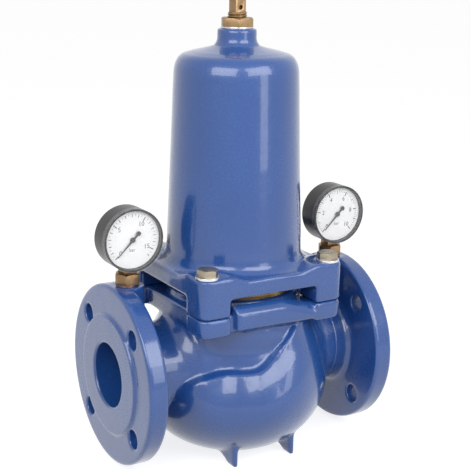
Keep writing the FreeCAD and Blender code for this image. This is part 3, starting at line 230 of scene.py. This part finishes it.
body_middle = joined_skin("body_casting")
for _, side in SIDES:
    cut_away(body_middle, side * MIDDLE_PIECE_X, side)
body_middle = recast(body_middle, MIDDLE_GRAIN, MIDDLE_EASING)
for vert in body_middle.verts:
    draw_in = hollow_depth(vert.co.x, vert.co.y, vert.co.z - PIPE_AXIS_Z)
    if draw_in > 0:
        across = math.hypot(vert.co.x, vert.co.y)
        vert.co.x *= 1 - draw_in / across
        vert.co.y *= 1 - draw_in / across
    radius = math.hypot(vert.co.y, vert.co.z - PIPE_AXIS_Z)
    if abs(vert.co.x) > NECK_START_X and NECK_SKIN_RADII[0] < radius < NECK_SKIN_RADII[1]:
        lap = NECK_LAP if abs(vert.co.x) > END_PIECE_X else 0
        scale = (NECK_RADIUS - lap) / radius
        vert.co.y *= scale
        vert.co.z = PIPE_AXIS_Z + (vert.co.z - PIPE_AXIS_Z) * scale
add_piece(body_middle, "body_middle", "valve_body", BLUE_ENAMEL, ("body_casting",))

for line, side in SIDES:
    flange_end = joined_skin("body_casting")
    cut_away(flange_end, side * END_PIECE_X, -side)
    add_piece(recast(flange_end, FLANGE_GRAIN, FLANGE_EASING), line + "_flange_end", "valve_body",
              BLUE_ENAMEL, ("body_casting",))

# ---- Bonnet casting
# A tall iron dome on a square plate with four corner pads, in the same blue enamel. Its outside
# is drawn on to one smooth outline, as the pattern was turned, so that highlights run straight.
# The outline is in millimetres: radius, and height above the pipe axis.

BONNET_GRAIN = 0.0017
BONNET_EASING = 3
BONNET_OUTLINE = (
    (69.8, 124), (68, 166.5), (66, 218.5), (64.6, 259.5), (63.5, 290), (62.6, 302), (60.8, 308),
    (56.5, 314), (47.4, 317.7), (38, 320), (28, 322.5), (20.9, 324.9))
BONNET_PULL = 0.0016
BONNET_PULL_LOW_Z = 0.2205
BONNET_PULL_HIGH_Z = 0.4225
BONNET_NECK_RADIUS = 0.0205
CROWN_PULL = 0.0045
CROWN_Z = PIPE_AXIS_Z + 0.306

outline_curve = bpy.data.curves.new("bonnet_outline", "CURVE")
outline_curve.resolution_u = 60
outline_spline = outline_curve.splines.new("BEZIER")
outline_spline.bezier_points.add(len(BONNET_OUTLINE) - 1)
for point, (radius, height) in zip(outline_spline.bezier_points, BONNET_OUTLINE):
    point.co = (radius / 1000, 0, PIPE_AXIS_Z + height / 1000)
    point.handle_left_type = point.handle_right_type = "AUTO"
outline_object = bpy.data.objects.new("bonnet_outline", outline_curve)
bpy.context.collection.objects.link(outline_object)
outline_mesh = bpy.data.meshes.new_from_object(
    outline_object.evaluated_get(bpy.context.evaluated_depsgraph_get()))
outline_points = [vert.co.copy() for vert in outline_mesh.vertices]
bpy.data.objects.remove(outline_object)
outline_tree = KDTree(len(outline_points))
for index, point in enumerate(outline_points):
    outline_tree.insert(point, index)
outline_tree.balance()

bonnet = recast(joined_skin("bonnet_casting"), BONNET_GRAIN, BONNET_EASING)
for vert in bonnet.verts:
    radius = math.hypot(vert.co.x, vert.co.y)
    if radius < BONNET_NECK_RADIUS or not BONNET_PULL_LOW_Z < vert.co.z < BONNET_PULL_HIGH_Z:
        continue
    section = Vector((radius, 0, vert.co.z))
    nearest, index, distance = outline_tree.find(section)
    if distance > (CROWN_PULL if vert.co.z > CROWN_Z else BONNET_PULL):
        continue
    first = outline_points[max(index - 1, 0)]
    second = outline_points[min(index + 1, len(outline_points) - 1)]
    along = (second - first).normalized()
    target = nearest + along * (section - nearest).dot(along)
    vert.co = Vector((vert.co.x * target.x / radius, vert.co.y * target.x / radius, target.z))
add_piece(bonnet, "bonnet", "valve_body", BLUE_ENAMEL, ("bonnet_casting",))

# ---- Brass insert, seat, diaphragm and seal
# The insert that guides the balance piston shows through the windows between the castings. It
# and the seat ring are turned from brass bar. The rubber parts are moulded and stay inside.


def metal(name, light, dark, rough, lump=0.004, depth=0.00004, worn=0.5):
    """Bare or plated metal: light and dark patches, uneven gloss and a faint rough skin."""
    finish = Finish(bpy.data.materials.new(name))
    patch = finish.spread(finish.cloud(lump * 5))
    fine = finish.spread(finish.cloud(lump / 4))
    mask = patch * worn + fine * (0.7 - worn * 0.5)
    return finish.surface(
        Base_Color=finish.tint(mask, light + (1,), dark + (1,)), Metallic=1.0,
        Roughness=rough + 0.10 * patch + 0.06 * fine,
        Normal=finish.relief(finish.cloud(lump / 3, 3.0), depth, 0.6))


def soft(name, light, dark, rough, grain=0.0012, depth=0.00006):
    """Rubber, plastic or paint: a little uneven in colour and gloss, with a fine grain."""
    finish = Finish(bpy.data.materials.new(name))
    patch = finish.spread(finish.cloud(0.012))
    return finish.surface(
        Base_Color=finish.tint(patch, light + (1,), dark + (1,)),
        Roughness=rough + 0.08 * patch,
        Normal=finish.relief(finish.cloud(grain, 2.0), depth, 0.5))


def dress(finish, *nodes):
    """Gives CAD nodes a finish."""
    for name in nodes:
        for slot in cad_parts[name].material_slots:
            slot.material = finish


BRASS = metal("turned_brass", (0.62, 0.43, 0.17), (0.40, 0.25, 0.08), 0.26)
RUBBER = soft("black_rubber", (0.020, 0.020, 0.021), (0.034, 0.033, 0.032), 0.55)
dress(BRASS, "balance_insert", "seat_ring")
dress(RUBBER, "insert_o_ring", "diaphragm")

# ---- Valve stem with its plates, piston and disc
# Turned stainless steel parts are threaded on one stem, with a brass piston and plate and two
# moulded rubber seals between them. All of it works inside the castings.

STAINLESS = metal("stainless_steel", (0.58, 0.57, 0.55), (0.44, 0.43, 0.42), 0.24)
dress(STAINLESS, "valve_stem", "distance_sleeve", "disc_nut", "stem_nut", "disc_holder")
dress(BRASS, "balance_piston", "diaphragm_plate")
dress(RUBBER, "piston_lip_seal", "disc_seal")

# ---- Set spring, spring plates and thrust ball
# The heavy spring is wound from oiled steel wire and stands on a zinc-plated plate. A hardened
# ball between the spindle and the upper plate takes the thrust.

SPRING_STEEL = metal("oiled_spring_steel", (0.16, 0.15, 0.15), (0.08, 0.08, 0.085), 0.34)
ZINC = metal("zinc_plated_steel", (0.66, 0.67, 0.69), (0.48, 0.49, 0.52), 0.22)
dress(SPRING_STEEL, "set_spring")
dress(ZINC, "lower_spring_plate", "upper_spring_plate")
dress(STAINLESS, "thrust_ball")

# ---- Corner bolts and washers
# Hexagon bolts, forged and plated a little yellow, hold the bonnet down on its corner pads, with
# bright plain washers stamped from sheet under their heads.

FLAT_ANGLE = 1
CORNER_ANGLE = 28
SHARP_ANGLE = 40
BOLT_EASING = 0.0004
WASHER_EASING = 0.0003


def eased_copy(node, width):
    """A copy of a turned or milled part with its sharp corners broken."""
    part = joined_skin(node)
    bmesh.ops.dissolve_limit(part, angle_limit=math.radians(FLAT_ANGLE),
                             verts=part.verts, edges=part.edges)
    corners = [edge for edge in part.edges
               if len(edge.link_faces) == 2 and edge.calc_face_angle() > math.radians(CORNER_ANGLE)]
    bmesh.ops.bevel(part, geom=corners, offset=width, offset_type="OFFSET", segments=2, profile=0.5,
                    affect="EDGES", material=-1, clamp_overlap=True)
    return part


BOLT_PLATING = metal("yellowed_plating", (0.44, 0.39, 0.30), (0.27, 0.235, 0.18), 0.27)
BRIGHT_STEEL = metal("bright_steel", (0.74, 0.74, 0.75), (0.60, 0.60, 0.61), 0.18)
add_piece(eased_copy("corner_bolts", BOLT_EASING), "corner_bolt_heads", "valve_body",
          BOLT_PLATING, ("corner_bolts",), SHARP_ANGLE)
add_piece(eased_copy("corner_washers", WASHER_EASING), "corner_plain_washers", "valve_body",
          BRIGHT_STEEL, ("corner_washers",), SHARP_ANGLE)

# ---- Adjusting spindle, lock nut and washer
# A brass spindle with a coarse thread cut on it and a milled square end, drilled across. A brass
# hexagon nut locks the setting against a zinc-plated washer on the bonnet's neck.

NUT_EASING = 0.0006
ROD_RADII = (0.0094, 0.0106)
ROD_TOP_Z = PIPE_AXIS_Z + 0.3572
ROD_BELOW_ROOT = 0.0001
SPINDLE_PITCH = 0.0025
THREAD_ROOT_RADIUS = 0.0087
THREAD_RADIUS = 0.0097
THREAD_LOW_Z = PIPE_AXIS_Z + 0.3425
THREAD_TURNS = 5
THREAD_STEPS = 40
THREAD_TOOTH = ((THREAD_ROOT_RADIUS, 0), (THREAD_RADIUS, 0.42), (THREAD_RADIUS, 0.58),
                (THREAD_ROOT_RADIUS, 1))

OLD_BRASS = metal("worn_brass", (0.46, 0.31, 0.17), (0.22, 0.14, 0.075), 0.30, worn=0.8)
spindle = eased_copy("adjusting_spindle", NUT_EASING)
for vert in spindle.verts:
    radius = math.hypot(vert.co.x, vert.co.y)
    if ROD_RADII[0] < radius < ROD_RADII[1] and THREAD_LOW_Z < vert.co.z < ROD_TOP_Z:
        vert.co.x *= (THREAD_ROOT_RADIUS - ROD_BELOW_ROOT) / radius
        vert.co.y *= (THREAD_ROOT_RADIUS - ROD_BELOW_ROOT) / radius
add_piece(spindle, "square_ended_spindle", "spindle", OLD_BRASS, ("adjusting_spindle",),
          SHARP_ANGLE)

thread = bmesh.new()
tooth = [thread.verts.new((radius, 0, THREAD_LOW_Z + part * SPINDLE_PITCH))
         for radius, part in THREAD_TOOTH]
flank = [thread.edges.new(pair) for pair in zip(tooth, tooth[1:])]
bmesh.ops.spin(thread, geom=tooth + flank, cent=(0, 0, 0), axis=(0, 0, 1),
               dvec=(0, 0, SPINDLE_PITCH / THREAD_STEPS), angle=2 * math.pi * THREAD_TURNS,
               steps=THREAD_STEPS * THREAD_TURNS)
bmesh.ops.remove_doubles(thread, verts=thread.verts, dist=0.00002)
bmesh.ops.recalc_face_normals(thread, faces=thread.faces)
add_piece(thread, "spindle_thread", "spindle", OLD_BRASS, (), SHARP_ANGLE)

add_piece(eased_copy("lock_nut", NUT_EASING), "hexagon_lock_nut", "lock_nut", OLD_BRASS,
          ("lock_nut",), SHARP_ANGLE)
add_piece(eased_copy("spindle_washer", WASHER_EASING), "spindle_plain_washer", "valve_body",
          ZINC, ("spindle_washer",), SHARP_ANGLE)

# ---- Gauge fittings
# On each port stand a copper sealing ring, a hexagon adapter and the gauge's own square socket,
# both milled from brass bar and screwed together.

FITTING_EASING = 0.0005
COPPER = metal("copper_ring", (0.66, 0.36, 0.24), (0.48, 0.24, 0.15), 0.28)
for line, _ in SIDES:
    for node, piece in (("_gauge_adapter", "_hexagon_adapter"), ("_gauge_socket", "_square_socket")):
        add_piece(eased_copy(line + node, FITTING_EASING), line + piece, "valve_body",
                  OLD_BRASS, (line + node,), SHARP_ANGLE)
    dress(COPPER, line + "_port_seal")

# ---- Gauge heads
# A satin black case with a clear snap-on window. Behind it a white dial with printed scale, a
# black pointer, and the brass bourdon tube, plates, sector and link that move it.

DIAL_SWEEP = 270
DIAL_START = 225
DIALS = {"inlet": (16, 5, 0.5), "outlet": (10, 2, 0.2)}
DIAL_CENTRE_Z = PIPE_AXIS_Z + 0.1405
DIAL_X = 0.1218
TICK_OUTER = 0.0258
TICK_LENGTHS = (0.0045, 0.0032, 0.0019)
TICK_WIDTHS = (0.00090, 0.00060, 0.00034)
NUMERAL_RADIUS = 0.0178
NUMERAL_SIZE = 0.0066
UNIT_RADIUS = 0.0105
UNIT_SIZE = 0.0050
PRINT_LIFT = 0.00005


def clear_window():
    finish = Finish(bpy.data.materials.new("clear_window"))
    smear = finish.spread(finish.cloud(0.006), 0.35, 0.8)
    bend = finish.cloud(0.02, 1.0)
    return finish.surface(
        Base_Color=(0.92, 0.94, 0.95, 1), Roughness=0.04 + 0.05 * smear, IOR=1.49,
        Alpha=0.05 + 0.03 * smear, Normal=finish.relief(bend, 0.0002, 0.3))


BLACK_CASE = soft("black_case", (0.012, 0.012, 0.013), (0.020, 0.020, 0.021), 0.26)
BLACK_PAINT = soft("black_paint", (0.010, 0.010, 0.010), (0.017, 0.017, 0.017), 0.35)
DIAL_WHITE = soft("dial_white", (0.93, 0.93, 0.925), (0.88, 0.88, 0.875), 0.38, 0.0008, 0.00001)
PRINTED_INK = soft("printed_ink", (0.012, 0.012, 0.013), (0.03, 0.03, 0.03), 0.42, 0.0005, 0.00001)
CLEAR_WINDOW = clear_window()


def dial_place(centre_x, front_y, angle, radius):
    """The matrix that puts a flat print at a clock angle on the dial, its top facing outwards."""
    across = math.radians(angle)
    middle = Vector((centre_x + radius * math.cos(across), front_y,
                     DIAL_CENTRE_Z + radius * math.sin(across)))
    return Matrix.Translation(middle) @ Matrix.Rotation(math.pi / 2, 4, "X")


def add_tick(print_mesh, centre_x, front_y, angle, length, width):
    place = dial_place(centre_x, front_y, angle, TICK_OUTER - length / 2)
    turn = Matrix.Rotation(math.radians(angle), 4, "Z")
    bmesh.ops.create_grid(print_mesh, x_segments=1, y_segments=1, size=0.5,
                          matrix=place @ turn @ Matrix.Diagonal((length, width, 1, 1)))


def add_words(print_mesh, words, size, place):
    """Adds flat lettering, made a mesh before it is placed."""
    curve = bpy.data.curves.new("words", "FONT")
    curve.body, curve.size, curve.resolution_u = words, size, 3
    curve.align_x, curve.align_y = "CENTER", "CENTER"
    plate = bpy.data.objects.new("words", curve)
    bpy.context.collection.objects.link(plate)
    flat = bpy.data.meshes.new_from_object(
        plate.evaluated_get(bpy.context.evaluated_depsgraph_get()))
    bpy.data.objects.remove(plate)
    flat.transform(place)
    print_mesh.from_mesh(flat)
    bpy.data.meshes.remove(flat)


for line, side in SIDES:
    top_value, long_step, fine_step = DIALS[line]
    front_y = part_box(line + "_gauge_dial")[0].y - PRINT_LIFT
    centre_x = side * DIAL_X
    scale = bmesh.new()
    for step in range(round(top_value / fine_step) + 1):
        value = step * fine_step
        is_long, is_whole = value % long_step < 0.01, abs(value - round(value)) < 0.01
        rank = 0 if is_long else 1 if is_whole else 2
        angle = DIAL_START - DIAL_SWEEP * value / top_value
        add_tick(scale, centre_x, front_y, angle, TICK_LENGTHS[rank], TICK_WIDTHS[rank])
    for value in range(0, top_value + 1, long_step):
        angle = DIAL_START - DIAL_SWEEP * value / top_value
        add_words(scale, str(value), NUMERAL_SIZE, dial_place(centre_x, front_y, angle, NUMERAL_RADIUS))
    add_words(scale, "bar", UNIT_SIZE, dial_place(centre_x, front_y, 270, UNIT_RADIUS))
    add_piece(scale, line + "_dial_scale", "valve_body", PRINTED_INK)
    dress(BLACK_CASE, line + "_gauge_case")
    dress(CLEAR_WINDOW, line + "_gauge_window")
    dress(DIAL_WHITE, line + "_gauge_dial")
    dress(BLACK_PAINT, line + "_gauge_pointer")
    dress(BRASS, line + "_movement_plates", line + "_sector_gear", line + "_pull_link")
    dress(COPPER, line + "_bourdon_tube")

# ---- Floor, light and camera
# A pale floor and white surroundings, with two large soft boxes in front to the left and right of
# the valve and a weak narrow one between them. The camera stands where the photograph was taken.

CAMERA_COLUMNS = (
    (0.8626, -0.5056, 0.0162), (0.1127, 0.2233, 0.9682), (-0.4931, -0.8334, 0.2496))
CAMERA_PLACE = (-0.6051, -1.0252, 0.5324)
LIGHT_TARGET = Vector((0, 0, 0.40))
SOFT_BOXES = (
    ("left_soft_box", (-0.96, -0.72, 0.98), 1.10, 0.75, 11.0),
    ("right_soft_box", (0.27, -1.17, 0.98), 1.10, 0.75, 11.0),
    ("narrow_soft_box", (0.41, -1.13, 0.38), 0.30, 0.45, 1.1))


def seen_directly(finish):
    """1 for rays from the camera and for reflections and refractions, 0 for the rest."""
    camera_ray, glossy_ray, transmission_ray = (
        finish.node("LightPath", output=name)
        for name in ("Is Camera Ray", "Is Glossy Ray", "Is Transmission Ray"))
    bounced = camera_ray.maths("MAXIMUM", camera_ray, glossy_ray)
    return camera_ray.maths("MAXIMUM", bounced, transmission_ray)


pale_floor = Finish(bpy.data.materials.new("pale_floor"))
mottle = pale_floor.spread(pale_floor.cloud(0.03))
floor_diffuse = pale_floor.node("BsdfDiffuse", {}, {
    "Color": pale_floor.tint(mottle, (0.44, 0.44, 0.44, 1), (0.46, 0.46, 0.46, 1))})
floor_glow = pale_floor.node("Emission", {}, {
    "Color": (1, 1, 1, 1), "Strength": seen_directly(pale_floor) * 0.80})
pale_floor.node("OutputMaterial", {}, {
    "Surface": pale_floor.node("AddShader", {}, {0: floor_diffuse, 1: floor_glow})})
floor_shape = bmesh.new()
bmesh.ops.create_grid(floor_shape, x_segments=2, y_segments=2, size=12)
floor_mesh = bpy.data.meshes.new("floor")
floor_shape.to_mesh(floor_mesh)
floor_shape.free()
floor_mesh.materials.append(pale_floor.owner)
floor = bpy.data.objects.new("floor", floor_mesh)
bpy.context.collection.objects.link(floor)

for name, place, width, height, power in SOFT_BOXES:
    lamp = bpy.data.lights.new(name, "AREA")
    lamp.shape, lamp.size, lamp.size_y, lamp.energy = "RECTANGLE", width, height, power
    holder = bpy.data.objects.new(name, lamp)
    holder.location = place
    holder.rotation_euler = (LIGHT_TARGET - Vector(place)).to_track_quat("-Z", "Y").to_euler()
    bpy.context.collection.objects.link(holder)

surroundings = bpy.data.worlds.new("surroundings")
bpy.context.scene.world = surroundings
sky = Finish(surroundings)
sky.node("OutputWorld", {}, {"Surface": sky.node("Background", {}, {
    "Color": (1, 1, 1, 1), "Strength": seen_directly(sky) * 0.60 + 0.40})})

camera = bpy.data.cameras.new("camera")
camera.sensor_width, camera.lens = 36, 90.67
camera_holder = bpy.data.objects.new("camera", camera)
stance = Matrix(CAMERA_COLUMNS).transposed().to_4x4()
stance.translation = CAMERA_PLACE
camera_holder.matrix_world = stance
bpy.context.collection.objects.link(camera_holder)
bpy.context.scene.camera = camera_holder
bpy.context.scene.view_settings.view_transform = "Standard"
